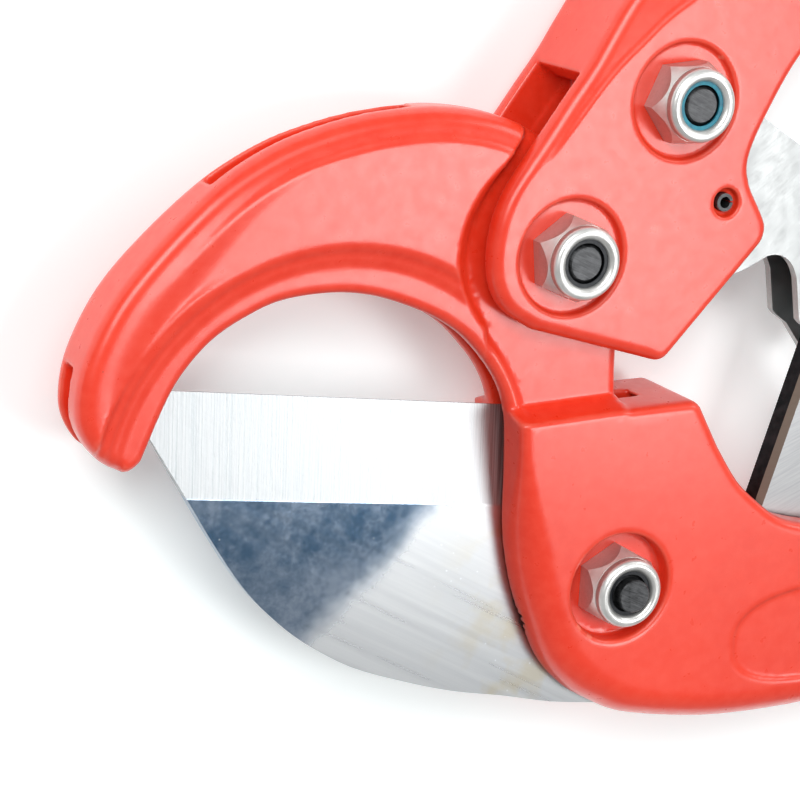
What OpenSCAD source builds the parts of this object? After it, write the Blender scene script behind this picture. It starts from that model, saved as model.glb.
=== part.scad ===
/* [Cutter] */
// Height of the middle plane above the face the cutter lies on
mid_z = 12.8; // [12:0.1:16]
// Radius of the blade tip about the blade pivot
tip_r = 94.4; // [80:0.1:110]
// Blade plate thickness
blade_t = 3.0; // [2:0.1:4]
// Width of the ground bevel along the cutting edge
bevel_w = 17; // [10:0.5:22]
// Thickness left at the cutting edge
edge_t = 0.3; // [0.1:0.1:0.8]

/* [Ratchet] */
// Tip radius of the ratchet teeth about the blade pivot
tooth_r = 55.6; // [50:0.1:60]
// Tooth depth
tooth_d = 2.2; // [1:0.1:3]
// Angle between teeth
tooth_pitch = 4; // [3:0.5:6]
// Number of teeth
tooth_n = 14; // [10:1:18]
// Sector plate thickness
sector_t = 5.5; // [4:0.1:7]
// Radius of the nose pin in the pawl
nose_r = 2.0; // [1.5:0.1:3]
// Thickness of each pawl cheek
cheek_t = 1.6; // [1:0.1:2]

/* [Castings] */
// Half thickness of the lower body
body_h = 9.2; // [8:0.1:11]
// Half thickness of the hook at its outer rim
hook_h = 7.6; // [6:0.1:9]
// Half thickness of the hook web
web_h = 6.4; // [5:0.1:8]
// Half thickness of the thinner inner land of the hook
land_h = 5.2; // [4:0.1:7]
// Half thickness of the neck between the handle cheeks
neck_h = 4.0; // [3:0.1:5]
// Half thickness of the upper handle
handle_h = 9.5; // [8:0.1:11]
// Half width of the gap between the upper handle's bosses
fork_h = 5.0; // [4:0.1:6]
// How much deeper the upper handle's rear cheek is set than its front one
handle_rear = 2.8; // [0:0.1:3]
// Half width of the blade slot in the frame
slot_h = 1.9; // [1.7:0.1:2.5]
// Half width of the sector slot in the frame
sector_slot_h = 3.15; // [3:0.05:4]

/* [Fasteners] */
// Bolt shank radius
bolt_r = 4.0; // [3:0.1:6]
// Width across the flats of nuts and bolt heads
flats = 12.4; // [10:0.1:17]
// Height of a lock nut
nut_h = 6.8; // [6:0.1:10]
// Radius of the rolled collar of a lock nut
collar_r = 6.0; // [5:0.05:7]
// Radius of the recess around each nut
recess_r = 9.4; // [8:0.1:12]

/* [Grips] */
// Width of each grip
grip_w = 30; // [24:1:36]
// Length of each grip
grip_l = 124; // [100:1:150]
// Wall between tang and grip along its width
tang_w = 17; // [12:1:22]

/* [Hidden] */
A = [0, 0];
B = [20.3, 23.7];
C = [10.9, -58.1];
D = [28.8, 6.4];
fit = 0.04;
rivet_at = 11.8;    // radius of the sector rivets about C
turn_A = 33;        // turn of each lock nut
turn_B = 3;
turn_C = 27;
hex_h = 4.9;        // height of a lock nut's hexagon
lip_r = 1.05;       // radius of its rolled lip
nose_end_r = 2.85;  // radius of a bolt's end
edge_a = 80.6;      // direction from C square to the cutting edge
edge_d = 28.8;      // distance of the cutting edge from C
close_a = 24;
open_a = 42;
corner_a = 42.5;    // direction of the sector's first corner from C
hub_r = 15.6;
lap_r = 24.0;
bush_r = 5.5;
boss_r = 11.4;
pawl_bush_r = 4.9;
floor_A = 8.0;
floor_B = 8.3;
floor_C = 6.0;
floor_rear = 7.6;
nose_a = 36;
lower_dir = -4;
upper_dir = 21;
lower_tang = [138, -78];
upper_tang = [92, 66];
red = [0.86, 0.13, 0.07];
zinc = [0.80, 0.81, 0.80];
steel = [0.60, 0.63, 0.66];
dark = [0.12, 0.12, 0.13];
teal = [0.08, 0.42, 0.50];
black = [0.05, 0.05, 0.055];

function polar(c, r, a) = c + r * [cos(a), sin(a)];
function arc(c, r, a0, a1, n) = [for (i = [0 : n]) polar(c, r, a0 + (a1 - a0) * i / n)];
function knot(p, i) = p[min(max(i, 0), len(p) - 1)];
function bend(a, b, c, d, t) = 0.5 * (2 * b + (c - a) * t + (2 * a - 5 * b + 4 * c - d) * t * t
    + (3 * b - a - 3 * c + d) * t * t * t);
function spline(p, n = 4) = concat([for (i = [0 : len(p) - 2]) for (k = [0 : n - 1])
    bend(knot(p, i - 1), knot(p, i), knot(p, i + 1), knot(p, i + 2), k / n)], [p[len(p) - 1]]);

hook_outer = [[-71.6, -25.9], [-74.2, -27.2], [-78.0, -25.0], [-81.2, -20.6], [-82.1, -15.8],
    [-80.4, -8.6], [-75.2, 0.3], [-67.2, 8.5], [-57.6, 16.2], [-48.8, 20.8], [-40.4, 23.3],
    [-31.9, 24.7], [-23.2, 25.0], [-16.2, 24.2], [-9, 22.2], [-2, 18.6], [4.5, 13.4], [9.4, 6.8],
    [11.3, 0], [11.4, -7], [12.2, -15], [12.2, -21]];
body_right = [[29.7, -35.7], [34.1, -42.7], [38.8, -47.4], [42.7, -50.4], [47.6, -52.4],
    [56, -54.4], [72, -57.2], [95, -61.5], [120, -65.6], [140.4, -68.6]];
body_bottom = [[139.1, -87.2], [120, -85.6], [100, -85.2], [82, -86.4], [66, -88.0], [50.8, -88.5],
    [36.4, -87.8], [25.6, -86.2], [14, -83.2], [7.8, -79.9], [3.0, -76.4], [-1.6, -70.8],
    [-5.0, -62.5], [-7.2, -55], [-8.4, -46], [-8.2, -36]];
throat = [[-8.2, -36], [-8.4, -27], [-10.6, -20.2], [-15.7, -13.4], [-20.6, -9.4], [-26.3, -6.4],
    [-33, -3.9], [-40, -2.8], [-48.3, -3.2], [-54.4, -5.3], [-59.1, -7.8], [-62.7, -10.9],
    [-65.7, -14.5], [-68, -18.5], [-70.2, -23], [-71.6, -25.9]];
top_y = -27.0;
frame_line = concat(spline(hook_outer), [[12.2, -26.8], [20.6, -27.0]],
    arc([23.4, -30.2], 3.2, 75, 20, 4), spline(body_right), spline(body_bottom), spline(throat));

handle_left = [[-6.4, -11.4], [-11.2, -8.0], [-13.5, -4.2], [-14.2, 0.7], [-13.4, 6.0],
    [-11.6, 10.6], [-8.6, 15.0], [-4.8, 19.8], [-0.6, 25.2], [3.6, 30.5], [7.2, 35.8], [11.2, 41.2],
    [17, 46.8], [25, 52], [36, 57], [50, 62], [66, 66.8], [80, 71.2], [88.8, 74.2]];
handle_right = [[95.2, 57.8], [80, 52.0], [64, 45.6], [52, 38.6], [42.4, 29.7], [35.8, 19.5],
    [33.1, 13.4], [33.4, 9.2], [35.4, 5.2]];
handle_line = concat(spline(handle_left), spline(handle_right), arc([33.0, 1.3], 3.9, 30, -45, 6),
    arc([16.9, -17.0], 2.2, -48, -108, 5));
cavity = [[-40, 45], [-7.7, 36.2], [6.2, 26.0], [14, 33.4], [22, 39.6], [31, 44.6], [39, 47.2],
    [46, 45.6], [52, 40], [58, 33], [90, 0], [90, -40], [-40, -40]];

// Slab of an outline about the middle plane, its outer edges eased in three steps
module slab(line, half, r) {
    for (k = [0 : 3])
        translate([0, 0, -half + r * [0, 0.12, 0.40, 1.0][k]])
            linear_extrude(2 * (half - r * [0, 0.12, 0.40, 1.0][k]))
                offset(delta = -r * [0.80, 0.48, 0.16, 0][k]) polygon(line);
}

module plate(half) {
    translate([0, 0, -half]) linear_extrude(2 * half) children();
}

module drill(p, r, z0, z1) {
    translate([p[0], p[1], z0]) cylinder(r = r, h = z1 - z0, $fn = 64);
}

// Bolt: chamfered hexagon head, shank, and a reduced nose from nose_z to z_end
module hex_bolt(p, z_head, nose_z, z_end) {
    head_h = -floor_rear - fit - z_head;
    translate([p[0], p[1], 0]) {
        translate([0, 0, z_head]) intersection() {
            cylinder(r = flats / 2 / cos(30), h = head_h, $fn = 6);
            cylinder(r1 = flats / 2 - 0.4, r2 = flats / 2 + 8.5, h = head_h, $fn = 96);
        }
        translate([0, 0, z_head + 1]) cylinder(r = bolt_r, h = nose_z - z_head - 1, $fn = 64);
        translate([0, 0, nose_z]) cylinder(r1 = bolt_r, r2 = nose_end_r, h = 1.2, $fn = 64);
        translate([0, 0, nose_z + 1]) cylinder(r = nose_end_r, h = z_end - nose_z - 1.2, $fn = 64);
        translate([0, 0, z_end - 0.2]) cylinder(r1 = nose_end_r, r2 = nose_end_r - 0.2, h = 0.2, $fn = 64);
    }
}

// Lock nut: hexagon with chamfered corners and a rolled collar over the nylon ring
module lock_nut(p, z0, turn) {
    seat = nut_h - 2.8;
    top_r = flats / 2 - 0.15;
    translate([p[0], p[1], z0]) difference() {
        union() {
            intersection() {
                rotate(turn) cylinder(r = flats / 2 / cos(30), h = hex_h, $fn = 6);
                cylinder(r1 = top_r + 0.42 * hex_h, r2 = top_r, h = hex_h, $fn = 96);
            }
            rotate_extrude($fn = 96) polygon(concat([[4.6, 0.4], [5.8, 0.4], [collar_r, hex_h]],
                arc([collar_r - lip_r, nut_h - lip_r], lip_r, 0, 180, 12), [[3.93, seat + 1.4]]));
        }
        translate([0, 0, -1]) cylinder(r = bolt_r + 0.02, h = seat + 1.8, $fn = 64);
        rotate_extrude($fn = 96) polygon([[0, seat], [5.0, seat], [5.0, seat + 1.3],
            [3.95, seat + 1.9], [0, seat + 1.9]]);
    }
}

module nut_insert(p, z0) {
    seat = nut_h - 2.8;
    translate([p[0], p[1], z0]) rotate_extrude($fn = 96) polygon([[bolt_r + 0.03, seat + 0.02],
        [4.98, seat + 0.02], [4.98, seat + 1.29], [3.92, seat + 1.88], [3.3, seat + 1.88],
        [3.3, seat + 1.6], [bolt_r + 0.03, seat + 0.6]]);
}

module sleeve(p, r_in, r_out, z0, z1) {
    difference() {
        drill(p, r_out, z0, z1);
        drill(p, r_in, z0 - 1, z1 + 1);
    }
}

// Frame: hook, neck, lower body and lower handle in one casting
module hook_relief() {
    difference() {
        slab(frame_line, hook_h, 2.4);
        for (s = [-1, 1]) {
            // recessed web inside the raised outer rim
            translate([0, 0, s > 0 ? web_h : -web_h - 4]) linear_extrude(4) difference() {
                offset(delta = -5.4) polygon(frame_line);
                polygon([[10, -20], [40, -20], [40, -120], [-30, -120], [-30, -34]]);
            }
            // thinner inner land along the throat
            translate([0, 0, s > 0 ? land_h : -land_h - 4]) linear_extrude(4)
                polygon(concat(arc([-39.9, -34.8], 38.6, 172, 8, 36), [[-2, -60], [-90, -60]]));
            // clearance for the upper handle's cheeks round its pivot
            translate([0, 0, s > 0 ? neck_h + 0.01 : -neck_h - 2.61])
                cylinder(r1 = s > 0 ? 16.2 : 19.2, r2 = s > 0 ? 19.2 : 16.2, h = 2.6, $fn = 96);
            translate([0, 0, s > 0 ? web_h - 0.2 : -web_h - 3.8]) cylinder(r = 19.2, h = 4, $fn = 96);
            translate([0, 0, s > 0 ? neck_h : -neck_h - 6]) linear_extrude(6)
                polygon([[-14, 9], [-10.5, 15], [-6.8, 19.6], [-5.2, 23], [-5.2, 40], [60, 40],
                    [60, -60], [-20, -60], [-11, -18]]);
        }
    }
}

module frame_casting() color(red) difference() {
    union() {
        intersection() {
            hook_relief();
            plate(20) polygon([[-100, 60], [60, 60], [60, -27.0], [14, -27.0], [0, -30], [-2, -60],
                [-100, -60]]);
        }
        // neck and hub under the handle cheeks
        plate(neck_h) intersection() {
            polygon(frame_line);
            translate([-12, -42]) square([26, 66]);
        }
        translate([0, 0, -fork_h + 0.55]) cylinder(r = 10.4, h = 2 * fork_h - 1.1, $fn = 72);
        // lower body and handle, its top wall sloping to the neck
        intersection() {
            slab(frame_line, body_h, 3.2);
            plate(20) polygon([[-40, -30], [-14, -30], [-2, top_y], [60, top_y], [180, top_y],
                [180, -120], [-40, -120]]);
        }
        for (k = [0 : 3]) intersection() {
            plate(neck_h + (body_h - neck_h) * (1 - k / 4) - 0.3) polygon(frame_line);
            translate([-6, top_y - 1, -20]) cube([36, 1 + 0.45 * k, 40]);
        }
        // tang inside the lower grip
        translate([lower_tang[0], lower_tang[1], 0]) rotate(lower_dir)
            translate([-6, -tang_w / 2, -6.5]) cube([grip_l - 8, tang_w, 13]);
    }
    // blade slot
    plate(slot_h) intersection() {
        polygon(concat([C, polar(C, edge_d + 0.6, 56)], [polar(C, edge_d + 0.6, 56.6)],
            [polar(polar(C, edge_d + 0.7, 56.6), 110, 146.6)], [[-160, 40], [-160, -200],
            polar(C, 140, -74)]));
        translate(C) circle(r = tip_r + 1.6, $fn = 180);
    }
    plate(slot_h) polygon(concat([C], arc(C, edge_d + 0.6, -4, 128, 24)));
    drill(C, lap_r + 0.3, -slot_h, slot_h);
    // windows of the slot through the outer rim
    plate(slot_h) difference() {
        polygon(concat([C], arc(C, 112, 113.5, 133.2, 8)));
        translate(C) circle(r = 84, $fn = 120);
    }
    plate(slot_h) difference() {
        polygon(concat([C], arc(C, 112, 152.6, 159.6, 6)));
        translate(C) circle(r = 90, $fn = 120);
    }
    // sector slot
    drill(C, hub_r + 0.5, -sector_slot_h, sector_slot_h);
    plate(sector_slot_h) polygon(concat([C, polar(C, 25.8, open_a - 17.2)],
        arc(C, tooth_r + 0.8, corner_a + open_a + 1.7, -39.5, 44), [polar(C, hub_r + 0.5, -100)]));
    // bores and nut recesses
    drill(A, bush_r + 0.02, -20, 20);
    drill(C, bolt_r + 0.05, -20, 20);
    drill(C, recess_r, floor_C, 20);
    drill(C, recess_r, -20, -floor_rear);
    // shallow oval field on the lower body
    translate([54, -72.8, body_h - 0.5]) linear_extrude(4) oval(19.7, 8.6);
}

// Oval with flattened sides
module oval(a, b) {
    function ease(v) = sign(v) * pow(abs(v), 0.77);
    polygon([for (i = [0 : 47]) [a * ease(cos(i * 7.5)), b * ease(sin(i * 7.5))]]);
}

module upper_handle() color(red) difference() {
    union() {
        translate([0, 0, -handle_rear / 2]) slab(handle_line, handle_h + handle_rear / 2, 2.2);
        translate([upper_tang[0], upper_tang[1], 0]) rotate(upper_dir)
            translate([-6, -tang_w / 2, -6.5]) cube([grip_l - 8, tang_w, 13]);
    }
    difference() {
        translate([0, 0, -handle_rear - fork_h]) linear_extrude(2 * fork_h + handle_rear)
            polygon(cavity);
        for (p = [A, B]) drill(p, boss_r, -handle_rear - fork_h - 1, -fork_h);
    }
    drill(A, bolt_r + 0.05, -20, 20);
    drill(B, bolt_r + 0.02, -20, 20);
    drill(D, 1.52, -20, 20);
    drill(A, recess_r, floor_A, 20);
    drill(B, recess_r, floor_B, 20);
    drill(D, 2.6, handle_h - 1.4, 20);
    drill(A, recess_r, -20, -floor_rear);
    drill(B, recess_r, -20, -floor_rear);
}

// Blade plate with a ground bevel on both sides of its edge
module blade() color(steel) difference() {
    tip = polar(C, tip_r, 152.9);
    heel = polar(C, edge_d, edge_a);
    plate(blade_t / 2) polygon(concat([tip, heel], arc(C, edge_d, edge_a - 4, 34, 10),
        arc(C, lap_r - 0.3, 28, -88, 26), spline([[10.6, -82], [2, -80.2], [-7.2, -77.4],
        [-17, -74.7], [-26.1, -71.3], [-35.8, -66.9], [-44.1, -61.1], [-49.9, -55.5],
        [-54.6, -49.6], [-59.2, -41.8], [-63.4, -33.8], [-67.4, -26.2], tip])));
    for (s = [-1, 1])
        translate([tip[0], tip[1], 0]) rotate(edge_a - 90) translate([-5, 0, s * edge_t / 2])
            rotate([-s * atan((blade_t - edge_t) / 2 / bevel_w), 0, 0])
                translate([0, -bevel_w * 1.4, s > 0 ? 0 : -6]) cube([120, bevel_w * 1.6, 6]);
    drill(C, bush_r + fit, -20, 20);
    for (a = [-150, -30, 90]) drill(polar(C, rivet_at, a), 2.02, -20, 20);
}

// Ratchet sector: two hub cheeks either side of the blade's root, teeth on its outer arc
module ratchet_sector() color(steel) difference() {
    root = tooth_r - tooth_d;
    heel = polar(C, 26.6, -18.2);
    union() {
        plate(sector_t / 2)
            polygon(concat([for (i = [0 : tooth_n - 1]) each concat(
                i > 0 ? [polar(C, root, corner_a - 1 - i * tooth_pitch)] : [], [
                polar(C, tooth_r, corner_a - 1 - (i + 0.05) * tooth_pitch),
                polar(C, tooth_r, corner_a - 1 - (i + 0.18) * tooth_pitch)])],
                [polar(C, root, corner_a - 1 - tooth_n * tooth_pitch), polar(C, hub_r - 0.6, -88),
                polar(C, 12, -40), heel]));
        plate(sector_t / 2) translate(C) circle(r = hub_r, $fn = 96);
    }
    for (s = [-1, 1])
        translate([heel[0], heel[1], s * sector_t / 2]) rotate([0, 0, 69.9]) rotate([45, 0, 0])
            translate([-8, -0.75, -0.75]) cube([62, 1.5, 1.5]);
    drill(C, lap_r, -blade_t / 2 - 0.02, blade_t / 2 + 0.02);
    drill(C, bush_r + fit, -20, 20);
    for (a = [-150, -30, 90]) drill(polar(C, rivet_at, a), 2.02, -20, 20);
}

module sector_rivets() color(zinc)
    for (a = [-150, -30, 90]) drill(polar(C, rivet_at, a), 2.0, -sector_t / 2, sector_t / 2);

// Pawl: two stamped cheeks joined by a web behind the nose and by the thumb tab
pawl_in = fork_h - 0.2 - cheek_t;
nose = polar(C, tooth_r + nose_r + 0.6, nose_a);
module pawl_side() polygon(concat(arc(B, 6.5, 205, 60, 14), [[39.9, 18.1], [60.8, 3.8]],
    arc([63.4, -2.4], 4.6, 52, -40, 8), [[64.2, -12], [62.6, -20]],
    arc(nose, 3.6, -12, -165, 10), [[50.6, -19.2], [48.3, -17.4], [47.6, -16.6], [46.7, -9.0]],
    arc([41.6, -9.4], 4.9, 20, 120, 8), [[36.2, -6.4], [33.0, -7.2], [31.4, -4.6]],
    [[31.9, 0], [31.8, 8.4], [25.5, 15.6]]));
module pawl() color(zinc) difference() {
    union() {
        for (s = [-1, 1]) translate([0, 0, s > 0 ? pawl_in : -pawl_in - cheek_t])
            linear_extrude(cheek_t) pawl_side();
        // thumb tab and web
        plate(pawl_in + 0.2) polygon(concat(arc([63.4, -2.4], 4.6, 52, -40, 8),
            [[63.6, -7.6]], arc([63.4, -2.4], 2.8, -40, 52, 8)));
        plate(pawl_in + 0.2) polygon([[61.6, -11.0], [63.9, -10.4], [62.9, -18.2], [61.0, -18.2]]);
    }
    drill(B, pawl_bush_r + fit, -20, 20);
    drill(nose, nose_r + 0.02, -20, 20);
}

module pawl_nose_pin() color(steel) drill(nose, nose_r, -fork_h + 0.15, fork_h - 0.15);

module pawl_bush() color(steel) sleeve(B, bolt_r + fit, pawl_bush_r, -fork_h + 0.1, fork_h - 0.1);

// Torsion spring: close coils round the bush, one leg on the roll pin, one inside the pawl
module pawl_spring() color(dark) {
    wire = 0.65;
    coil_r = 6.3;
    pitch = 1.45;
    low = -2.2;
    for (k = [0 : 3]) translate([B[0], B[1], low + pitch * k])
        rotate_extrude($fn = 64) translate([coil_r, 0]) circle(r = wire, $fn = 32);
    translate([polar(B, coil_r, 250)[0], polar(B, coil_r, 250)[1], low])
        cylinder(r = wire - 0.2, h = 3 * pitch, $fn = 32);
    leg(polar(B, coil_r + 0.6, 205), [26.4, 5.6], low, wire - 0.05);
    leg(polar(B, coil_r + 0.6, 66), polar(B, 21, -8), low + 3 * pitch, wire - 0.05);
}
module leg(p, q, z, r) {
    d = q - p;
    translate([p[0], p[1], z]) rotate([0, 90, atan2(d[1], d[0])])
        cylinder(r = r, h = norm(d), $fn = 32);
}

module roll_pin() color(dark) difference() {
    drill(D, 1.5, -handle_h + 0.6, handle_h - 0.5);
    drill(D, 0.95, -handle_h, handle_h);
    translate([D[0] + 0.6, D[1] - 0.15, -handle_h]) cube([1.4, 0.3, 2 * handle_h]);
}

module handle_bolt() color(dark) hex_bolt(A, -mid_z, floor_A + nut_h - 2.3, floor_A + nut_h - 0.8);
module pawl_bolt() color(dark) hex_bolt(B, -mid_z, floor_B + nut_h - 2.3, floor_B + nut_h - 0.8);
module blade_bolt() color(dark) hex_bolt(C, -mid_z, floor_C + nut_h - 2.3, floor_C + nut_h + 1.0);
module handle_nut() color(zinc) lock_nut(A, floor_A + fit, turn_A);
module pawl_nut() color(zinc) lock_nut(B, floor_B + fit, turn_B);
module blade_nut() color(zinc) lock_nut(C, floor_C + fit, turn_C);
module handle_nut_insert() color(dark) nut_insert(A, floor_A + fit);
module pawl_nut_insert() color(teal) nut_insert(B, floor_B + fit);
module blade_nut_insert() color(dark) nut_insert(C, floor_C + fit);

module handle_bush() color(steel) sleeve(A, bolt_r + fit, bush_r, -fork_h + 0.1, fork_h - 0.1);
module handle_washers() color(steel)
    for (s = [-1, 1]) sleeve(A, bush_r + 0.1, 9.6, s * 4.72 - 0.22, s * 4.72 + 0.22);

module blade_bush() color(steel)
    sleeve(C, bolt_r + fit, bush_r, -sector_slot_h + 0.05, sector_slot_h - 0.05);
module blade_washers() color(steel)
    for (s = [-1, 1]) sleeve(C, bush_r + 0.1, 9.0, s * 2.95 - 0.13, s * 2.95 + 0.13);

// Grip sleeve: rounded across and rounded at both ends, with a pocket for the tang
module grip(p, dir) color(black) translate([p[0], p[1], 0]) rotate(dir) difference() {
    intersection() {
        rotate([90, 0, 90]) linear_extrude(grip_l)
            polygon(concat(arc([grip_w / 2 - 11.5, mid_z - 11.5], 11.5, 0, 90, 10),
                arc([11.5 - grip_w / 2, mid_z - 11.5], 11.5, 90, 180, 10),
                arc([11.5 - grip_w / 2, 11.5 - mid_z], 11.5, 180, 270, 10),
                arc([grip_w / 2 - 11.5, 11.5 - mid_z], 11.5, 270, 360, 10)));
        plate(20) polygon(concat([[0, -grip_w / 2]], arc([grip_l - 12, -3], 12, -90, 0, 8),
            arc([grip_l - 12, 3], 12, 0, 90, 8), [[0, grip_w / 2]]));
        rotate([90, 0, 0]) plate(40) polygon(concat([[0, -mid_z], [grip_l - 10, -mid_z]],
            arc([grip_l - 10, -mid_z + 10], 10, -90, 0, 8), arc([grip_l - 10, mid_z - 10], 10, 0, 90, 8),
            [[0, mid_z]]));
    }
    translate([-10, -tang_w / 2 - fit, -6.5 - fit])
        cube([grip_l - 3.8, tang_w + 2 * fit, 13 + 2 * fit]);
}
module lower_grip() grip(polar(lower_tang, 2.2, lower_dir), lower_dir);
module upper_grip() grip(polar(upper_tang, 0.4, upper_dir), upper_dir);

module lift() translate([0, 0, mid_z]) children();

lift() frame_casting();
lift() upper_handle();
lift() blade();
lift() ratchet_sector();
lift() sector_rivets();
lift() pawl();
lift() pawl_nose_pin();
lift() pawl_bush();
lift() pawl_spring();
lift() roll_pin();
lift() handle_bolt();
lift() handle_nut();
lift() handle_nut_insert();
lift() handle_bush();
lift() handle_washers();
lift() blade_bolt();
lift() blade_nut();
lift() blade_nut_insert();
lift() blade_bush();
lift() blade_washers();
lift() pawl_bolt();
lift() pawl_nut();
lift() pawl_nut_insert();
lift() lower_grip();
lift() upper_grip();
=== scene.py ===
"""Visual model of a two-handed ratcheting pipe cutter, built around its CAD frame.

The cast pieces and the grips are rebuilt here as rounded meshes; the other CAD nodes keep their
own shape and get a small bevel and a material. Lengths below are in millimetres, in the frame's
own axes, unless a name says otherwise.
"""
import math
import bpy
import numpy as np
import openvdb
from mathutils import Matrix, Vector


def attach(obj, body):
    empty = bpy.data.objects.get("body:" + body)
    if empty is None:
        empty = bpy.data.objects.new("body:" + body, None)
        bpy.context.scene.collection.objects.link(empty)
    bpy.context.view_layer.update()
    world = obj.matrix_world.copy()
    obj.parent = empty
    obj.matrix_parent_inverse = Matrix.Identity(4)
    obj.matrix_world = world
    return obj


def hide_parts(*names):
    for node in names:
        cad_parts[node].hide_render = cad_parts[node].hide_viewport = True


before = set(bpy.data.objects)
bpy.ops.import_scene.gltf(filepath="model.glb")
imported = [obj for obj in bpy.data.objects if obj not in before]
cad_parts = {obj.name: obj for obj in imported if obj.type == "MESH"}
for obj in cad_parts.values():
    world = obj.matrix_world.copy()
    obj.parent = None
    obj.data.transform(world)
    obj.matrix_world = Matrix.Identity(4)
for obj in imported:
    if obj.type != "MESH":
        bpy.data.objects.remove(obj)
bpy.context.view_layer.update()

MM = 0.001
MID_Z = 12.8                    # height of the castings' middle plane
A = np.array([0.0, 0.0])        # pivot of the upper handle
B = np.array([20.3, 23.7])      # pivot of the pawl
C = np.array([10.9, -58.1])     # pivot of the blade
D = np.array([28.8, 6.4])       # roll pin

# ---------------------------------------------------------------- outlines


def polar(c, r, a):
    return [c[0] + r * math.cos(math.radians(a)), c[1] + r * math.sin(math.radians(a))]


def arc(c, r, a0, a1, n):
    return [polar(c, r, a0 + (a1 - a0) * i / n) for i in range(n + 1)]


def spline(points, n=6):
    """Catmull-Rom curve through the points."""
    p = [np.array(q, float) for q in points]
    out = []
    for i in range(len(p) - 1):
        a, b, c, d = p[max(i - 1, 0)], p[i], p[i + 1], p[min(i + 2, len(p) - 1)]
        for k in range(n):
            t = k / n
            out.append(0.5 * (2 * b + (c - a) * t + (2 * a - 5 * b + 4 * c - d) * t * t
                              + (3 * b - a - 3 * c + d) * t ** 3))
    out.append(p[-1])
    return [list(q) for q in out]


# knots of the castings' outlines, joined by smooth curves
HOOK_OUTER = [[-71.6, -25.9], [-74.2, -27.2], [-78.0, -25.0], [-81.2, -20.6], [-82.1, -15.8],
              [-80.4, -8.6], [-75.2, 0.3], [-67.2, 8.5], [-57.6, 16.2], [-48.8, 20.8],
              [-40.4, 23.3], [-31.9, 24.7], [-23.2, 25.0], [-16.2, 24.2], [-9, 22.2], [-2, 18.6],
              [4.5, 13.4], [9.4, 6.8], [11.3, 0], [11.4, -7], [12.2, -15], [12.2, -21]]
BODY_RIGHT = [[29.7, -35.7], [34.1, -42.7], [38.8, -47.4], [42.7, -50.4], [47.6, -52.4],
              [56, -54.4], [72, -57.2], [95, -61.5], [120, -65.6], [140.4, -68.6]]
BODY_BOTTOM = [[139.1, -87.2], [120, -85.6], [100, -85.2], [82, -86.4], [66, -88.0], [50.8, -88.5],
               [36.4, -87.8], [25.6, -86.2], [14, -83.2], [7.8, -79.9], [3.0, -76.4],
               [-1.6, -70.8], [-5.0, -62.5], [-7.2, -55], [-8.4, -46], [-8.2, -36]]
THROAT = [[-8.2, -36], [-8.4, -27], [-10.6, -20.2], [-15.7, -13.4], [-20.6, -9.4], [-26.3, -6.4],
          [-33, -3.9], [-40, -2.8], [-48.3, -3.2], [-54.4, -5.3], [-59.1, -7.8], [-62.7, -10.9],
          [-65.7, -14.5], [-68, -18.5], [-70.2, -23], [-71.6, -25.9]]
BODY_CORNER = arc([23.4, -30.2], 3.2, 75, 20, 4)
FRAME_LINE = (spline(HOOK_OUTER) + [[12.2, -26.8], [20.6, -27.0]] + BODY_CORNER
              + spline(BODY_RIGHT) + spline(BODY_BOTTOM) + spline(THROAT))
HANDLE_LEFT = [[-6.4, -11.4], [-11.2, -8.0], [-13.5, -4.2], [-14.2, 0.7], [-13.4, 6.0],
               [-11.6, 10.6], [-8.6, 15.0], [-4.8, 19.8], [-0.6, 25.2], [3.6, 30.5], [7.2, 35.8],
               [11.2, 41.2], [17, 46.8], [25, 52], [36, 57], [50, 62], [66, 66.8], [80, 71.2],
               [88.8, 74.2]]
FACE_LEFT = [[-3.6, 16.4], [-0.5, 20.3], [2.6, 24.0], [5.5, 27.3], [8.5, 30.3], [12.3, 33.4],
             [16.6, 36.9], [22.2, 40.4], [32, 46.2], [46, 53], [62, 59.6], [80, 66.2], [92, 70]]
HANDLE_RIGHT = [[95.2, 57.8], [80, 52.0], [64, 45.6], [52, 38.6], [42.4, 29.7], [35.8, 19.5],
                [33.1, 13.4], [33.4, 9.2], [35.4, 5.2]]
HANDLE_CORNER = arc([33.0, 1.3], 3.9, 30, -45, 6)
HANDLE_LINE = (spline(HANDLE_LEFT) + spline(HANDLE_RIGHT) + HANDLE_CORNER
               + arc([16.9, -17.0], 2.2, -48, -108, 5))
# hollow of the fork between the two cheeks
CAVITY = [[-40, 45], [-7.7, 36.2], [6.2, 26.0], [14, 33.4], [22, 39.6], [31, 44.6], [39, 47.2],
          [46, 45.6], [52, 40], [58, 33], [90, 0], [90, -40], [-40, -40]]

# ---------------------------------------------------------------- distance fields


def line_distance(points, x, y, closed=False):
    """Unsigned distance from every grid point to a polyline."""
    p = np.array(points, float)
    q = np.roll(p, -1, axis=0) if closed else p[1:]
    best = np.full(x.shape, 1e9, np.float32)
    for (ax, ay), (bx, by) in zip(p, q):
        ux, uy = bx - ax, by - ay
        size = ux * ux + uy * uy
        if size < 1e-9:
            continue
        t = np.clip(((x - ax) * ux + (y - ay) * uy) / size, 0, 1)
        np.minimum(best, (x - ax - t * ux) ** 2 + (y - ay - t * uy) ** 2, out=best)
    return np.sqrt(best)


def outline(points, x, y):
    """Signed distance to a closed outline, negative inside."""
    p = np.array(points, float)
    inside = np.zeros(x.shape, bool)
    for (ax, ay), (bx, by) in zip(p, np.roll(p, -1, axis=0)):
        if ay == by:
            continue
        crosses = (ay > y) != (by > y)
        inside ^= crosses & (x < (bx - ax) * (y - ay) / (by - ay) + ax)
    d = line_distance(points, x, y, closed=True)
    return np.where(inside, -d, d).astype(np.float32)


def ramp(v, low, high):
    """Smooth step from 0 at low to 1 at high."""
    t = np.clip((v - low) / (high - low), 0, 1)
    return t * t * (3 - 2 * t)


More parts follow.
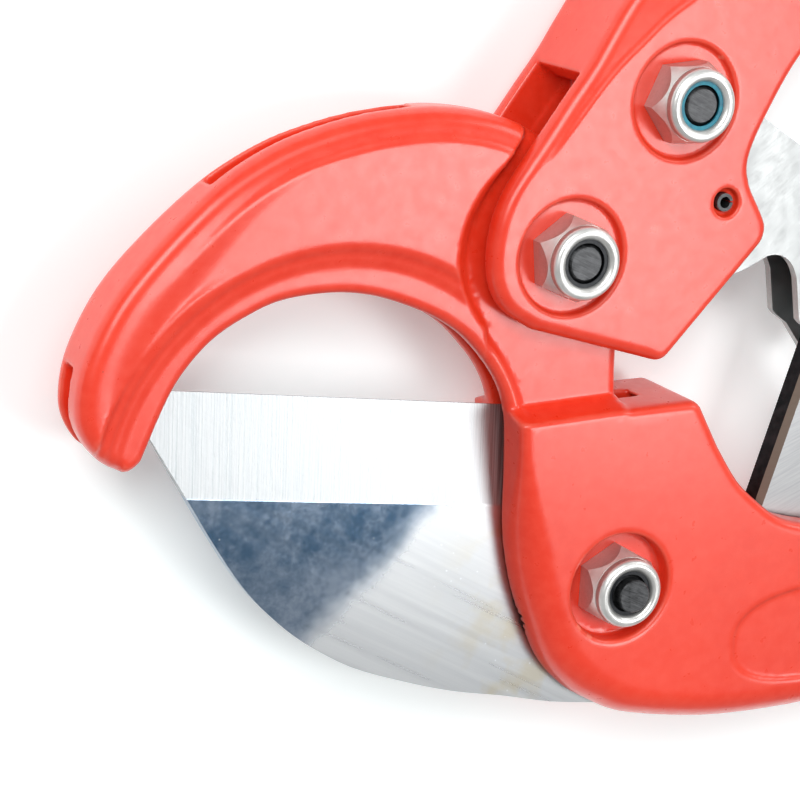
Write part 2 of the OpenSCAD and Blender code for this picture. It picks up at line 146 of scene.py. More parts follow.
def meet(a, b, k):
    """Intersection of two fields with its edge rounded over k."""
    h = np.clip(0.5 + 0.5 * (a - b) / k, 0, 1)
    return b + (a - b) * h + k * h * (1 - h)


def cut(a, b, k):
    """Field a with field b taken away, the new edge rounded over k."""
    return meet(a, -b, k)


def join(a, b, k):
    """Union of two fields, filleted over k."""
    return -meet(-a, -b, k)


def rounded(flat, height, z, r):
    """Slab from a 2-D field and a half-height map, its rim rounded with radius map r."""
    a = flat[:, :, None] + r[:, :, None]
    b = np.abs(z)[None, None, :] - height[:, :, None] + r[:, :, None]
    return np.minimum(np.maximum(a, b), 0) + np.hypot(np.maximum(a, 0), np.maximum(b, 0)) \
        - r[:, :, None]


class Grid:
    """Regular grid over a box, with the planar coordinates of its columns."""

    def __init__(self, low, high, step):
        self.low = np.array(low, float)
        self.step = step
        n = [int(math.ceil((h - l) / step)) + 1 for l, h in zip(low, high)]
        self.axes = [self.low[i] + step * np.arange(n[i]) for i in range(3)]
        self.x, self.y = np.meshgrid(self.axes[0], self.axes[1], indexing="ij")
        self.x = self.x.astype(np.float32)
        self.y = self.y.astype(np.float32)
        self.z = self.axes[2].astype(np.float32)

    def deep(self, flat, low, high):
        """Field of a 2-D shape running from low to high in z."""
        middle, half = (low + high) / 2, (high - low) / 2
        wall = np.abs(self.z - middle)[None, None, :] - half
        return np.maximum(flat[:, :, None], wall)

    def round_hole(self, c, r, low, high):
        """Field of a cylinder about c from low to high in z."""
        return self.deep(np.hypot(self.x - c[0], self.y - c[1]) - r, low, high)


def sample(values, grid, points):
    """Trilinear value of a grid array at points."""
    at = (points - grid.low) / grid.step
    n = np.array(values.shape)
    i = np.clip(np.floor(at).astype(int), 0, n - 2)
    f = at - i
    out = np.zeros(len(points))
    for dx in (0, 1):
        for dy in (0, 1):
            for dz in (0, 1):
                w = (np.where(dx, f[:, 0], 1 - f[:, 0]) * np.where(dy, f[:, 1], 1 - f[:, 1])
                     * np.where(dz, f[:, 2], 1 - f[:, 2]))
                out += w * values[i[:, 0] + dx, i[:, 1] + dy, i[:, 2] + dz]
    return out


def field_mesh(name, field, grid, faces):
    """Mesh of a field's zero surface, thinned to a number of triangles, with the field's normals."""
    vdb = openvdb.FloatGrid(background=float(3 * grid.step))
    vdb.copyFromArray(np.ascontiguousarray(np.clip(field, -3 * grid.step, 3 * grid.step)))
    points, quads = vdb.convertToQuads(isovalue=0.0)
    points = points * grid.step + grid.low
    mesh = bpy.data.meshes.new(name)
    mesh.from_pydata((points * MM + [0, 0, MID_Z * MM]).tolist(), [], quads.tolist())
    mesh.update()
    piece = bpy.data.objects.new(name, mesh)
    bpy.context.scene.collection.objects.link(piece)
    if 2 * len(quads) > faces:
        thin = piece.modifiers.new("thin", "DECIMATE")
        thin.ratio = faces / (2 * len(quads))
        apply_modifiers(piece)
    mesh = piece.data
    at = np.empty(3 * len(mesh.vertices))
    mesh.vertices.foreach_get("co", at)
    at = (at.reshape(-1, 3) - [0, 0, MID_Z * MM]) / MM
    slopes = np.stack([sample(g, grid, at) for g in np.gradient(field)], axis=1)
    slopes /= np.maximum(np.linalg.norm(slopes, axis=1), 1e-9)[:, None]
    first = mesh.polygons[0]
    if np.dot(slopes[first.vertices[0]], first.normal) < 0:
        mesh.flip_normals()
    mesh.polygons.foreach_set("use_smooth", [True] * len(mesh.polygons))
    mesh.normals_split_custom_set_from_vertices(slopes.tolist())
    return piece


def apply_modifiers(piece):
    """Replace a piece's mesh with the mesh its modifiers make."""
    graph = bpy.context.evaluated_depsgraph_get()
    made = bpy.data.meshes.new_from_object(piece.evaluated_get(graph))
    piece.modifiers.clear()
    piece.data = made


# ---------------------------------------------------------------- cast pieces
# half heights from the middle plane
HOOK_H, WEB_H, LAND_H, NECK_H, BODY_H = 7.6, 6.4, 5.1, 4.0, 9.2
SLOT_H, SECTOR_SLOT_H = 1.9, 3.15
TOP_Y = -27.0                          # shelf between the neck and the lower body
THROAT_C = np.array([-39.9, -34.8])    # centre of the round throat
THROAT_EDGE = spline(THROAT)
BLADE_SLOT_R, SECTOR_HUB_R = 29.4, 16.1
HUB_BORE_R, BOLT_BORE_R, RECESS_R = 5.5, 4.05, 9.4
FLOOR_A, FLOOR_B, FLOOR_C = 8.0, 8.3, 6.0    # floors of the nut recesses
HEAD_FLOOR = -7.6                            # floor of the bolt head recesses
THROUGH, OPEN = 20, 30                       # past the casting, for bores and recesses


def bolt_recesses(field, g, centre, floor_z, k):
    """Nut recess on the front and head recess on the back of a casting."""
    field = cut(field, g.round_hole(centre, RECESS_R, floor_z, OPEN), k)
    return cut(field, g.round_hole(centre, RECESS_R, -OPEN, HEAD_FLOOR), k)


def frame_casting():
    """Hook jaw, neck, lower body and lower handle in one casting."""
    g = Grid([-84, -91, -10.5], [150, 27, 10.5], 0.5)
    x, y, z = g.x, g.y, g.z
    flat = outline(FRAME_LINE, x, y)
    throat_r = np.hypot(x - THROAT_C[0], y - THROAT_C[1])
    pivot_r = np.hypot(x, y)
    # hook: outer rim, web, ramp down to the inner land
    outer_rim = line_distance(spline(HOOK_OUTER[2:14]), x, y) < line_distance(THROAT_EDGE, x, y)
    spread = 5.6 + 4.4 * ramp(-x, 34, 70)
    raised = (1 - ramp(-flat, 3.6, spread)) * (1 - ramp(x, -82, -34))
    fallen = (0.9 * np.clip(1 + flat / 4.7, 0, 1) + 0.3 * (1 - ramp(-flat, 4.2, 4.9))) \
        * ramp(x, -74, -44) * outer_rim
    height = WEB_H + (HOOK_H - WEB_H) * raised - fallen
    slope = np.clip((throat_r - 36.4) / 3.6, 0, 1)
    slope = slope - 0.16 * np.exp(-((throat_r - 38.4) / 0.5) ** 2)
    height = np.minimum(height, LAND_H + (WEB_H - LAND_H) * slope + 3.0 * ramp(throat_r, 40.2, 43))
    step = NECK_H + (HOOK_H - NECK_H) * np.clip((pivot_r - 16.4) / 3.4, 0, 1)
    height = np.minimum(height, np.where(pivot_r < 30, step, 99))
    # neck, with a low lip along the throat
    neck = outline([[-14, 9], [-9.9, 15.4], [-5.9, 20.3], [-4.4, 23.2], [-4.4, 40], [60, 40],
                    [60, -60], [-20, -60], [-14, -22], [-12.6, -16]], x, y)
    lip = NECK_H + (LAND_H - 0.3 - NECK_H) * ramp(-throat_r, -35.6, -34.4)
    height = height + (np.minimum(lip, height) - height) * ramp(-neck, -0.3, 0.4)
    # lower body
    body = ramp(-y, -TOP_Y - 1.6, -TOP_Y + 0.2) * (x > -30)
    height = height + (BODY_H - height) * body
    near_low = line_distance(spline(BODY_BOTTOM), x, y)
    near_top = line_distance([[-9, TOP_Y], [20, TOP_Y]] + BODY_CORNER + spline(BODY_RIGHT), x, y)
    low_side = ramp(near_top - near_low, -4, 6)
    handle_r = 1.6 + (3.9 - 1.6) * ramp(x, 45, 95)
    body_r = handle_r + (6.2 - handle_r) * low_side * ramp(-y, 30, 52)
    hook_r = np.where(outer_rim, 2.6, 1.5)
    r = hook_r + (body_r - hook_r) * body
    field = rounded(flat, height, z, np.minimum(r, height - 0.6))
    rear_r = np.where(outer_rim, 5.6, 1.5)
    rear_r = rear_r + (body_r - rear_r) * body
    rear = rounded(flat, height, z, np.minimum(rear_r, height - 0.4))
    field = np.where((z < 0)[None, None, :], rear, field)
    # slot for the blade and its windows through the rim
    far = polar(polar(C, 29.5, 56.6), 110, 146.6)
    blade_way = outline([list(C), polar(C, BLADE_SLOT_R, 56), polar(C, BLADE_SLOT_R, 56.6), far,
                         [-160, 40], [-160, -200], polar(C, 140, -74)], x, y)
    centre_r = np.hypot(x - C[0], y - C[1])
    blade_way = np.maximum(blade_way, centre_r - 96)
    sweep = np.maximum(outline([list(C)] + arc(C, BLADE_SLOT_R, -4, 128, 24), x, y),
                       centre_r - BLADE_SLOT_R)
    windows = np.minimum(
        np.maximum(outline([list(C)] + arc(C, 112, 113.5, 133.2, 8), x, y), 84 - centre_r),
        np.maximum(outline([list(C)] + arc(C, 112, 152.6, 159.6, 6), x, y), 90 - centre_r))
    slot = np.minimum.reduce([blade_way, sweep, centre_r - 24.3, windows])
    field = cut(field, g.deep(slot, -SLOT_H, SLOT_H), 0.5)
    wide = outline([list(C), polar(C, 25.8, 24.8)] + arc(C, 56.4, 86.2, -39.5, 44)
                   + [polar(C, SECTOR_HUB_R, -100)], x, y)
    wide = np.minimum(wide, centre_r - SECTOR_HUB_R)
    field = cut(field, g.deep(wide, -SECTOR_SLOT_H, SECTOR_SLOT_H), 0.5)
    # bores and nut recesses
    field = cut(field, g.round_hole(A, HUB_BORE_R, -THROUGH, THROUGH), 0.3)
    field = cut(field, g.round_hole(C, BOLT_BORE_R, -THROUGH, THROUGH), 0.3)
    field = bolt_recesses(field, g, C, FLOOR_C, 0.9)
    # shallow oval field
    oval = (((np.abs(x - 54) / 19.7) ** 2.6 + (np.abs(y + 72.8) / 8.6) ** 2.6) ** (1 / 2.6) - 1) * 8.6
    field = cut(field, g.deep(oval, BODY_H - 0.5, 30), 0.5)
    return field_mesh("frame_body", field, g, 190000)


def handle_casting():
    """Fork of two cheeks joined by a web, running out into the upper handle."""
    g = Grid([-16, -22, -14], [104, 80, 10.5], 0.45)
    x, y, z = g.x, g.y, g.z
    flat = outline(HANDLE_LINE, x, y)
    near_left = line_distance(spline(HANDLE_LEFT), x, y)
    near_right = line_distance(spline(HANDLE_RIGHT) + HANDLE_CORNER, x, y)
    left_side = ramp(near_right - near_left, -3, 5)
    along = x * 0.698 + y * 0.716
    r = 1.1 + 0.9 * left_side + 2.2 * ramp(along, 62, 100)
    # outer band of the front face: a fine step, then a gentle slope to the edge
    band = -outline(spline(FACE_LEFT) + [[140, 60], [140, -60], [-40, -60], [-40, -8]], x, y)
    outside = np.maximum(-band, 0)
    drop = (0.28 * ramp(outside, 0.05, 0.5) + 0.16 * np.minimum(outside, 8)) \
        * (1 - 0.7 * ramp(along, 70, 100)) * ramp(y, 12, 24)
    half = 9.5 + 1.4
    top = rounded(flat, half - drop, z + 1.4, r)
    low = rounded(flat, np.full(x.shape, half, np.float32), z + 1.4, r + 0.8)
    field = np.where((z < -1.4)[None, None, :], low, top)
    # fork gap, with bosses for the bolt heads on its rear side
    inner = outline(CAVITY, x, y)
    gap = g.deep(inner, -7.8, 5.1)
    flare = g.deep(np.maximum(inner, near_left - 6), -7.8, 5.9)
    for centre in (A, B):
        gap = np.maximum(gap, -g.round_hole(centre, 11.4, -9, -5))
    field = cut(field, join(gap, flare, 1.0), 0.7)
    for centre, floor_z in ((A, FLOOR_A), (B, FLOOR_B)):
        field = cut(field, g.round_hole(centre, BOLT_BORE_R, -THROUGH, THROUGH), 0.3)
        field = bolt_recesses(field, g, centre, floor_z, 0.8)
    field = cut(field, g.round_hole(D, 1.5, -THROUGH, THROUGH), 0.3)
    field = cut(field, g.round_hole(D, 2.4, 8.1, THROUGH), 0.4)
    return field_mesh("lever_body", field, g, 160000)


# ---------------------------------------------------------------- grips


def grip(name, low_point, direction, length, half_w, half_t):
    """Moulded sleeve: a swept rounded section with a flange, shallow rings and a domed end."""
    rows, ring = 260, 96
    dome, pitch, first_ring, ring_count, power = 13, 7.0, 14, 13, 2.6
    base = Vector((low_point[0], low_point[1], 0))
    turn = Matrix.Rotation(math.radians(direction), 3, "Z")
    verts, faces = [], []
    for i in range(rows + 1):
        u = length * i / rows
        end = max(0.0, (u - (length - dome)) / dome)
        swell = math.sqrt(max(0.0, 1 - end ** 2.4)) if end < 1 else 0.0
        start = max(0.0, 1 - u / 2.2)
        w = half_w * (0.90 + 0.055 * math.sin(math.pi * (u / length) ** 0.9))
        t = half_t * 0.955
        flange = math.exp(-((u - 3.2) / 3.0) ** 4)
        w += (half_w - w) * flange
        t += (half_t - t) * flange
        ringed = first_ring < u < first_ring + pitch * ring_count
        wave = 0.5 - 0.5 * math.cos(2 * math.pi * (u - first_ring) / pitch)
        rings = 0.55 * wave if ringed else 0.0
        groove = 0.5 * math.exp(-((u - 10.2) / 1.0) ** 2)
        for j in range(ring):
            a = 2 * math.pi * j / ring
            c, s = math.cos(a), math.sin(a)
            side = abs(s) ** 3
            q = (abs(c) ** power + abs(s) ** power) ** (-1 / power)
            inset = rings * (0.35 + 0.65 * (1 - side)) + groove + 0.6 * start ** 2
            wy = (w - inset) * q * c
            tz = (t - inset * 0.8) * q * s
            k = swell if end > 0 else 1.0
            p = turn @ Vector((u, wy * k, 0)) + base
            verts.append((p.x * MM, p.y * MM, (MID_Z + tz * k) * MM))
    for i in range(rows):
        for j in range(ring):
            k = (j + 1) % ring
            faces.append((i * ring + j, i * ring + k, (i + 1) * ring + k, (i + 1) * ring + j))
    for row, u in ((0, 0.9), (rows, length)):
        verts.append(tuple((turn @ Vector((u, 0, 0)) + base + Vector((0, 0, MID_Z))) * MM))
        for j in range(ring):
            pair = (row * ring + j, row * ring + (j + 1) % ring)
            faces.append((*(pair if row else pair[::-1]), len(verts) - 1))
    mesh = bpy.data.meshes.new(name)
    mesh.from_pydata(verts, [], faces)
    mesh.update()
    piece = bpy.data.objects.new(name, mesh)
    bpy.context.scene.collection.objects.link(piece)
    return piece


# ---------------------------------------------------------------- materials


class Shader:
    """One node material: the shader's own constants, then nodes linked to it."""

    def __init__(self, name, **values):
        self.material = bpy.data.materials.new(name)
        self.material.use_nodes = True
        self.tree = self.material.node_tree
        self.shader = self.tree.nodes["Principled BSDF"]
        for key, value in values.items():
            socket = self.shader.inputs[key.replace("_", " ")]
            socket.default_value = value
        self.place = self.node("ShaderNodeTexCoord").outputs["Object"]

    def node(self, kind, **settings):
        made = self.tree.nodes.new(kind)
        for key, value in settings.items():
            setattr(made, key, value)
        return made

    def feed(self, socket, value):
        if isinstance(value, bpy.types.NodeSocket):
            self.tree.links.new(value, socket)
        elif isinstance(value, (tuple, list)) and len(value) == 3 and socket.type == "RGBA":
            socket.default_value = (*value, 1)
        else:
            socket.default_value = value

    def mapped(self, scale=(1, 1, 1), turn=0.0, centre=(0, 0)):
        """Position in millimetres about a centre, turned about Z, then stretched."""
        first = self.node("ShaderNodeMapping", vector_type="TEXTURE")
        self.feed(first.inputs["Vector"], self.place)
        first.inputs["Location"].default_value = (centre[0] * MM, centre[1] * MM, 0)
        first.inputs["Rotation"].default_value = (0, 0, math.radians(turn))
        first.inputs["Scale"].default_value = (MM, MM, MM)
        second = self.node("ShaderNodeMapping")
        self.feed(second.inputs["Vector"], first.outputs[0])
        second.inputs["Scale"].default_value = scale
        return second.outputs[0]

    def noise(self, scale, detail=3.0, rough=0.5, where=None):
        made = self.node("ShaderNodeTexNoise")
        self.feed(made.inputs["Vector"], where or self.mapped())
        made.inputs["Scale"].default_value = scale
        made.inputs["Detail"].default_value = detail
        made.inputs["Roughness"].default_value = rough
        return made.outputs["Fac"]

    def cells(self, scale, feature="F1"):
        made = self.node("ShaderNodeTexVoronoi", feature=feature)
        self.feed(made.inputs["Vector"], self.mapped())
        made.inputs["Scale"].default_value = scale
        return made.outputs["Distance"]

    def span(self, value, low, high, to_low=0.0, to_high=1.0, smooth=False):
        made = self.node("ShaderNodeMapRange",
                         interpolation_type="SMOOTHSTEP" if smooth else "LINEAR")
        self.feed(made.inputs["Value"], value)
        for key, number in zip(("From Min", "From Max", "To Min", "To Max"),
                               (low, high, to_low, to_high)):
            made.inputs[key].default_value = number
        return made.outputs["Result"]

    def maths(self, kind, a, b=0.0, c=0.0):
        made = self.node("ShaderNodeMath", operation=kind)
        for socket, value in zip(made.inputs, (a, b, c)):
            self.feed(socket, value)
        return made.outputs[0]

    def blend(self, amount, a, b, kind="MIX"):
        made = self.node("ShaderNodeMix", data_type="RGBA", blend_type=kind)
        self.feed(made.inputs[0], amount)
        self.feed(made.inputs[6], a)
        self.feed(made.inputs[7], b)
        return made.outputs[2]

    def parts(self, vector):
        made = self.node("ShaderNodeSeparateXYZ")
        self.feed(made.inputs[0], vector)
        return made.outputs

    def facing(self):
        """Surface normal in the object's own axes."""
        turned = self.node("ShaderNodeVectorTransform", vector_type="NORMAL",
                           convert_from="WORLD", convert_to="OBJECT")
        self.feed(turned.inputs[0], self.node("ShaderNodeNewGeometry").outputs["True Normal"])
        return self.parts(turned.outputs[0])

    def edges(self, low=0.52, high=0.6):
        return self.span(self.node("ShaderNodeNewGeometry").outputs["Pointiness"], low, high)

    def bump(self, height, distance, strength=1.0, after=None):
        made = self.node("ShaderNodeBump")
        self.feed(made.inputs["Height"], height)
        made.inputs["Distance"].default_value = distance * MM
        made.inputs["Strength"].default_value = strength
        if after is not None:
            self.feed(made.inputs["Normal"], after)
        return made.outputs[0]

    def set(self, **links):
        for key, value in links.items():
            self.feed(self.shader.inputs[key.replace("_", " ")], value)
        return self.material


def red_paint():
    """Thick enamel: cloudy, with a painted highlight on crests and painted shade in corners, a few
    specks.
    """
    m = Shader("red_enamel", Coat_Weight=0.36, Coat_Roughness=0.18, Specular_IOR_Level=0.5)
    tone = m.span(m.noise(0.035, 3), 0.3, 0.7)
    base = m.blend(tone, (0.76, 0.033, 0.010), (0.84, 0.042, 0.014))
    base = m.blend(m.span(m.noise(0.42, 4, 0.65), 0.38, 0.66, 0, 0.30), base,
                   (0.90, 0.085, 0.045))
    # painted highlight: convex crests lightened towards pale pink
    base = m.blend(m.maths("MULTIPLY", m.edges(0.515, 0.60), 0.55), base, (0.95, 0.27, 0.19))
    # painted shade: concave corners and creases darkened
    base = m.blend(m.span(m.edges(0.47, 0.36), 0, 1, 0, 0.45), base, (0.46, 0.014, 0.004))
    specks = m.span(m.cells(0.42), 0.03, 0.06, 1, 0)
    sparse = m.span(m.noise(0.11, 2), 0.60, 0.64)
    base = m.blend(m.maths("MULTIPLY", specks, m.maths("MULTIPLY", sparse, 0.5)), base,
                   (0.20, 0.012, 0.008))
    rough = m.span(m.noise(0.5, 4), 0.3, 0.7, 0.27, 0.36)
    grain = m.bump(m.noise(0.16, 2, 0.5), 0.16, 0.30)
    grain = m.bump(m.noise(0.75, 2, 0.4), 0.030, 0.5, grain)
    return m.set(Base_Color=base, Roughness=rough, Normal=grain)


def blade_steel():
    """Polished plate with a painted blue reflection on its mirror zone, satin near the pivot, with a
    band ground across the cutting edge.
    """
    m = Shader("blade_steel", Metallic=1.0)
    # u runs along the cutting edge, v across it; the ground band starts at its shoulder
    along = 80.6 - 90
    u, v, _ = m.parts(m.mapped((1, 1, 1), along, C))
    bevel = m.span(v, 11.6, 12.1, 0, 1)
    lines = m.noise(1.0, 4, 0.6, m.mapped((3.2, 0.035, 0.03), along + 5, C))
    cross = m.noise(1.0, 3, 0.6, m.mapped((0.05, 2.2, 0.03), along - 26, C))
    fine = m.noise(1.0, 3, 0.6, m.mapped((0.9, 0.02, 0.02), 58, C))
    # mirror zone towards the tip, its blue colour a painted reflection, satin towards the pivot, with
    # a wandering border
    reflection_cloud = m.noise(0.06, 4, 0.6)
    drift = m.maths("MULTIPLY", m.noise(0.07, 3, 0.5), 9)
    _, far, _ = m.parts(m.mapped((1, 1, 1), 39, (-32.2, -51.0)))
    root = m.span(m.maths("ADD", far, drift), 8.5, 0.5, 0, 1, True)
    reflection_mottle = m.maths("ADD", reflection_cloud, m.maths("MULTIPLY", m.noise(0.6, 4, 0.7), 0.45))
    specks = m.maths("MULTIPLY", m.span(m.cells(0.55), 0.05, 0.11, 1, 0),
                     m.span(m.noise(0.16, 2), 0.52, 0.60))
    # painted reflection: mottled dark and pale blues on the mirror zone
    painted_mirror_reflection = m.blend(m.span(reflection_mottle, 0.60, 0.86), (0.10, 0.19, 0.31), (0.38, 0.47, 0.60))
    satin = m.blend(m.span(fine, 0.3, 0.7), (0.53, 0.55, 0.57), (0.60, 0.62, 0.63))
    flat = m.blend(root, painted_mirror_reflection, satin)
    near_pivot = m.span(u, -34, -14, 0, 1, True)
    stain = m.maths("MULTIPLY", m.span(m.noise(0.13, 4), 0.5, 0.64), near_pivot)
    flat = m.blend(m.maths("MULTIPLY", stain, 0.38), flat, (0.52, 0.42, 0.20))
    flat = m.blend(m.maths("MULTIPLY", specks, 0.7), flat, (0.82, 0.86, 0.90))
    ground = m.blend(m.span(lines, 0.3, 0.7), (0.26, 0.28, 0.29), (0.58, 0.60, 0.61))
    base = m.blend(bevel, flat, ground)
    flat_rough = m.maths("ADD", m.span(fine, 0.3, 0.7, 0.13, 0.16), m.maths("MULTIPLY", root, 0.14))
    ground_rough = m.span(lines, 0.3, 0.7, 0.34, 0.50)
    rough = m.maths("ADD", m.maths("MULTIPLY", bevel, ground_rough),
                    m.maths("MULTIPLY", m.maths("SUBTRACT", 1.0, bevel), flat_rough))
    grinding = m.maths("ADD", lines, m.maths("MULTIPLY", cross, 0.5))
    marks = m.maths("ADD", m.maths("MULTIPLY", grinding, bevel), m.maths("MULTIPLY", fine, 0.01))
    normal = m.bump(marks, 0.03, 0.5)
    normal = m.bump(m.noise(0.25, 3, 0.5), 0.006, 0.35, normal)
    return m.set(Base_Color=base, Roughness=rough, Normal=normal)


def sector_steel():
    """Brushed faces, black oxide on the sides, a painted brown reflection on the chamfer between
    them.
    """
    m = Shader("sector_steel", Metallic=1.0)
    _, _, up = m.facing()
    flat = m.span(m.maths("ABSOLUTE", up), 0.80, 0.97, 0, 1)
    rim = m.span(m.maths("ABSOLUTE", up), 0.25, 0.45, 0, 1)
    brushed = m.noise(1.0, 4, 0.6, m.mapped((0.12, 2.6, 1.0), 20, C))
    face = m.blend(m.span(brushed, 0.3, 0.7), (0.27, 0.275, 0.28), (0.36, 0.365, 0.37))
    oxide = m.blend(m.span(m.noise(0.5, 4), 0.35, 0.65), (0.006, 0.006, 0.007), (0.024, 0.022, 0.024))
    # painted reflection: brown band on the chamfer, by normal direction
    oxide_and_painted_glint = m.blend(rim, oxide, (0.17, 0.135, 0.11))
    base = m.blend(flat, oxide_and_painted_glint, face)
    rough = m.maths("ADD", m.span(brushed, 0.3, 0.7, 0.30, 0.42),
                    m.maths("MULTIPLY", m.maths("SUBTRACT", 1.0, flat), 0.12))
    return m.set(Base_Color=base, Roughness=rough, Normal=m.bump(brushed, 0.012, 0.4))


def plated(name, light, dark, rough, grain=0.5, metal=1.0):
    """Zinc plate or bare steel, cloudy and scuffed, with painted shade on its sides and a painted
    highlight on its edges.
    """
    m = Shader(name, Metallic=metal)
    cloud = m.noise(0.35, 4, 0.55)
    fine = m.noise(2.2, 3, 0.6)
    base = m.blend(m.span(cloud, 0.32, 0.68), dark, light)
    _, _, up = m.facing()
    # painted shade: faces turned away from up darkened to grey
    sides = m.span(m.maths("ABSOLUTE", up), 0.15, 0.45, 0.6, 0)
    base = m.blend(sides, base, m.blend(m.span(fine, 0.3, 0.7), (0.20, 0.21, 0.20),
                                        (0.36, 0.365, 0.35)))
    # painted highlight: sharp edges lightened to near white
    base = m.blend(m.maths("MULTIPLY", m.edges(), 0.35), base, (0.92, 0.93, 0.92))
    scuffs = m.noise(1.0, 3, 0.6, m.mapped((0.35, 3.6, 0.5), 34))
    roughness = m.span(m.maths("ADD", cloud, m.maths("MULTIPLY", scuffs, 0.6)), 0.5, 1.1,
                       rough - 0.06, rough + 0.10)
    normal = m.bump(scuffs, 0.02, 0.4)
    return m.set(Base_Color=base, Roughness=roughness, Normal=m.bump(fine, 0.012, grain, normal))


def dark_steel():
    """Blackened bolt ends with worn, scratched faces."""
    m = Shader("dark_bolt_steel", Metallic=0.85)
    cloud = m.noise(0.5, 4, 0.55)
    fine = m.noise(2.5, 3, 0.6)
    scuffs = m.noise(1.0, 3, 0.6, m.mapped((0.5, 4.5, 0.5), -28))
    worn = m.maths("ADD", m.maths("MULTIPLY", cloud, 0.5), m.maths("MULTIPLY", scuffs, 0.5))
    base = m.blend(m.span(worn, 0.40, 0.62), (0.006, 0.007, 0.008), (0.07, 0.073, 0.076))
    # painted highlight: sharp edges lightened
    base = m.blend(m.maths("MULTIPLY", m.edges(), 0.12), base, (0.33, 0.33, 0.34))
    return m.set(Base_Color=base, Roughness=m.span(cloud, 0.3, 0.7, 0.36, 0.5),
                 Normal=m.bump(m.maths("ADD", fine, scuffs), 0.03, 0.6))


def nylon(name, low, high):
    m = Shader(name, Specular_IOR_Level=0.3)
    cloud = m.noise(1.1, 3, 0.5)
    return m.set(Base_Color=m.blend(m.span(cloud, 0.3, 0.7), low, high),
                 Roughness=m.span(cloud, 0.3, 0.7, 0.35, 0.5),
                 Normal=m.bump(m.noise(3.0, 3, 0.6), 0.02, 0.5))


def rubber():
    """Grained grip sleeves, with a painted sheen on their crests."""
    m = Shader("black_rubber", Specular_IOR_Level=0.45)
    cloud = m.noise(0.05, 4, 0.55)
    leather = m.cells(1.9, feature="SMOOTH_F1")
    base = m.blend(m.span(cloud, 0.35, 0.65), (0.014, 0.014, 0.015), (0.026, 0.026, 0.028))
    # painted sheen: convex crests lightened
    base = m.blend(m.maths("MULTIPLY", m.edges(), 0.25), base, (0.10, 0.10, 0.105))
    grain = m.bump(leather, 0.10, 0.5)
    return m.set(Base_Color=base, Roughness=m.span(m.noise(0.4, 3), 0.3, 0.7, 0.50, 0.64),
                 Normal=m.bump(m.noise(4.0, 2), 0.02, 0.5, grain))


def floor_material():
    m = Shader("studio_floor", Roughness=0.9, Specular_IOR_Level=0.1, Emission_Strength=0.22)
    tone = m.span(m.noise(0.02, 3), 0.3, 0.7)
    pale = m.blend(tone, (0.895, 0.945, 0.945), (0.915, 0.965, 0.965))
    return m.set(Base_Color=pale, Emission_Color=pale)


paint = red_paint()
zinc = plated("zinc_plate", (0.80, 0.80, 0.78), (0.64, 0.64, 0.62), 0.34, 0.5, 0.75)
pawl_zinc = plated("pawl_zinc", (0.17, 0.185, 0.19), (0.14, 0.155, 0.16), 0.42)
bush = plated("bush_steel", (0.48, 0.47, 0.45), (0.30, 0.29, 0.28), 0.34)
bolt = dark_steel()
# CAD nodes that keep their shape: material, and width of the broken edge
looks = {
    "blade": (blade_steel(), 0.0), "ratchet_sector": (sector_steel(), 0.25),
    "sector_rivets": (bush, 0.0), "pawl": (pawl_zinc, 0.3), "pawl_nose_pin": (bush, 0.2),
    "pawl_bush": (bush, 0.15), "pawl_spring": (plated("spring_wire", (0.34, 0.33, 0.32),
                                                      (0.20, 0.20, 0.20), 0.3), 0.0),
    "roll_pin": (bolt, 0.12), "handle_bolt": (bolt, 0.2), "blade_bolt": (bolt, 0.2),
    "pawl_bolt": (bolt, 0.2), "handle_nut": (zinc, 0.18), "blade_nut": (zinc, 0.18),
    "pawl_nut": (zinc, 0.18), "handle_bush": (bush, 0.15), "blade_bush": (bush, 0.15),
    "handle_washers": (bush, 0.1), "blade_washers": (bush, 0.08),
    "handle_nut_insert": (nylon("dark_nylon", (0.008, 0.010, 0.013), (0.018, 0.021, 0.026)), 0.15),
    "pawl_nut_insert": (nylon("teal_nylon", (0.01, 0.13, 0.20), (0.03, 0.26, 0.34)), 0.15),
}
looks["blade_nut_insert"] = looks["handle_nut_insert"]


def paint_over(piece, material):
    piece.data.materials.clear()
    piece.data.materials.append(material)


def soften(piece, width):
    """Break a CAD node's sharp edges."""
    bevel = piece.modifiers.new("soften", "BEVEL")
    bevel.width = width * MM
    bevel.segments = 3
    bevel.limit_method = "ANGLE"
    bevel.angle_limit = math.radians(38)


for node, (material, width) in looks.items():
    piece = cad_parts[node]
    for slot in piece.material_slots:
        slot.material = material
    if width:
        soften(piece, width)

# ---------------------------------------------------------------- pieces on their bodies
body = frame_casting()
lever = handle_casting()
lower = grip("lower_sleeve", polar([138, -78], 2.2, -4), -4, 124, 15, 12.8)
upper = grip("upper_sleeve", polar([92, 66], 0.4, 21), 21, 124, 15, 12.8)
grip_rubber = rubber()
for piece, node, owner, slot, material in (
        (body, "frame_casting", "frame", "red_paint", paint),
        (lever, "upper_handle", "handle", "red_paint", paint),
        (lower, "lower_grip", "frame", "black_grip", grip_rubber),
        (upper, "upper_grip", "handle", "black_grip", grip_rubber)):
    paint_over(piece, material)
    for face in piece.data.polygons:
        face.use_smooth = True
    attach(piece, owner)
    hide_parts(node)

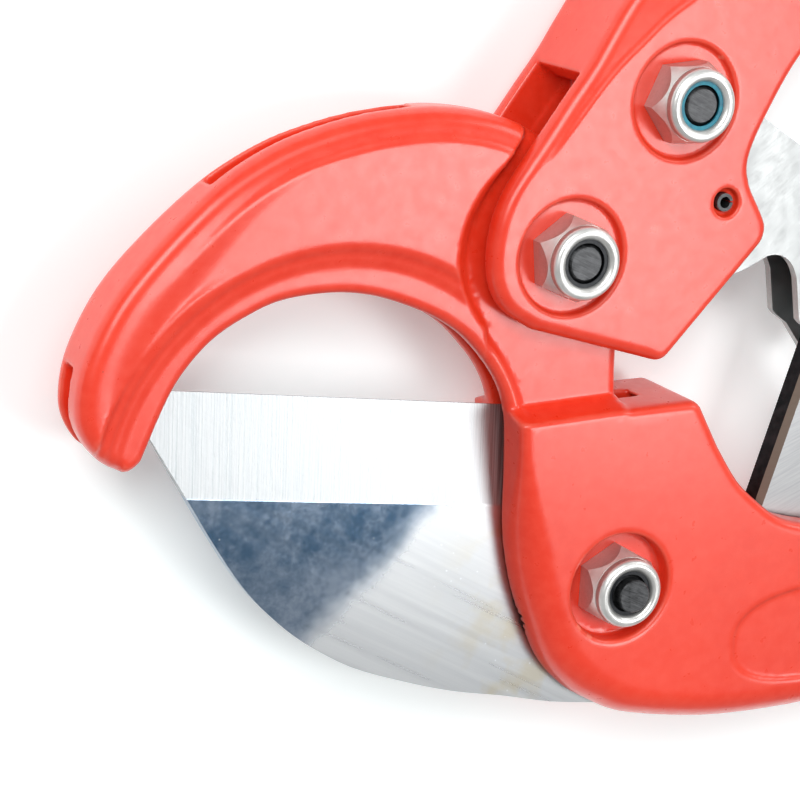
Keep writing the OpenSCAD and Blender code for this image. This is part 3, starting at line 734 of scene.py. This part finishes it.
# ---------------------------------------------------------------- floor, light, camera


def floor():
    """Pale ground just below the bolt heads the cutter lies on."""
    mesh = bpy.data.meshes.new("floor")
    side = 6.0
    mesh.from_pydata([(-side, -side, 0), (side, -side, 0), (side, side, 0), (-side, side, 0)],
                     [], [(0, 1, 2, 3)])
    made = bpy.data.objects.new("floor", mesh)
    made.location.z = -0.0003
    bpy.context.scene.collection.objects.link(made)
    paint_over(made, floor_material())


def lamp(name, where, target, size, power, colour=(1, 1, 1)):
    data = bpy.data.lights.new(name, "AREA")
    data.shape = "RECTANGLE"
    data.size, data.size_y = size
    data.energy = power
    data.color = colour
    made = bpy.data.objects.new(name, data)
    made.location = where
    made.rotation_euler = (Vector(target) - Vector(where)).to_track_quat("-Z", "Y").to_euler()
    bpy.context.scene.collection.objects.link(made)


floor()
bpy.context.scene.view_settings.view_transform = "Standard"
centre = (0.0, -0.02, 0.0)
lamp("glow", (0.40, -0.12, 0.82), centre, (0.34, 0.36), 2.9)
lamp("key", (-0.55, 0.60, 0.85), centre, (0.7, 0.5), 6)
lamp("top", (-0.15, 0.75, 1.00), centre, (1.0, 0.5), 3.5)
lamp("side", (0.95, 0.55, 0.60), centre, (0.5, 0.5), 2.5)
world = bpy.data.worlds.new("studio")
bpy.context.scene.world = world
world.use_nodes = True
world.node_tree.nodes["Background"].inputs["Color"].default_value = (1, 1, 1, 1)
world.node_tree.nodes["Background"].inputs["Strength"].default_value = 0.38

view = bpy.data.cameras.new("camera")
camera = bpy.data.objects.new("camera", view)
bpy.context.scene.collection.objects.link(camera)
bpy.context.scene.camera = camera
RIGHT = Vector((0.9031577, 0.0, 0.42930895))
UP = Vector((0.12124419, 0.95929171, -0.25506718))
BACK = Vector((-0.41183252, 0.2824171, 0.86639169))
turn = Matrix((RIGHT, UP, BACK)).transposed().to_4x4()
camera.matrix_world = Matrix.Translation((-0.18080359, 0.08332468, 0.33852114)) @ turn
view.sensor_width = 36
view.lens = 104.922

bpy.context.view_layer.update()
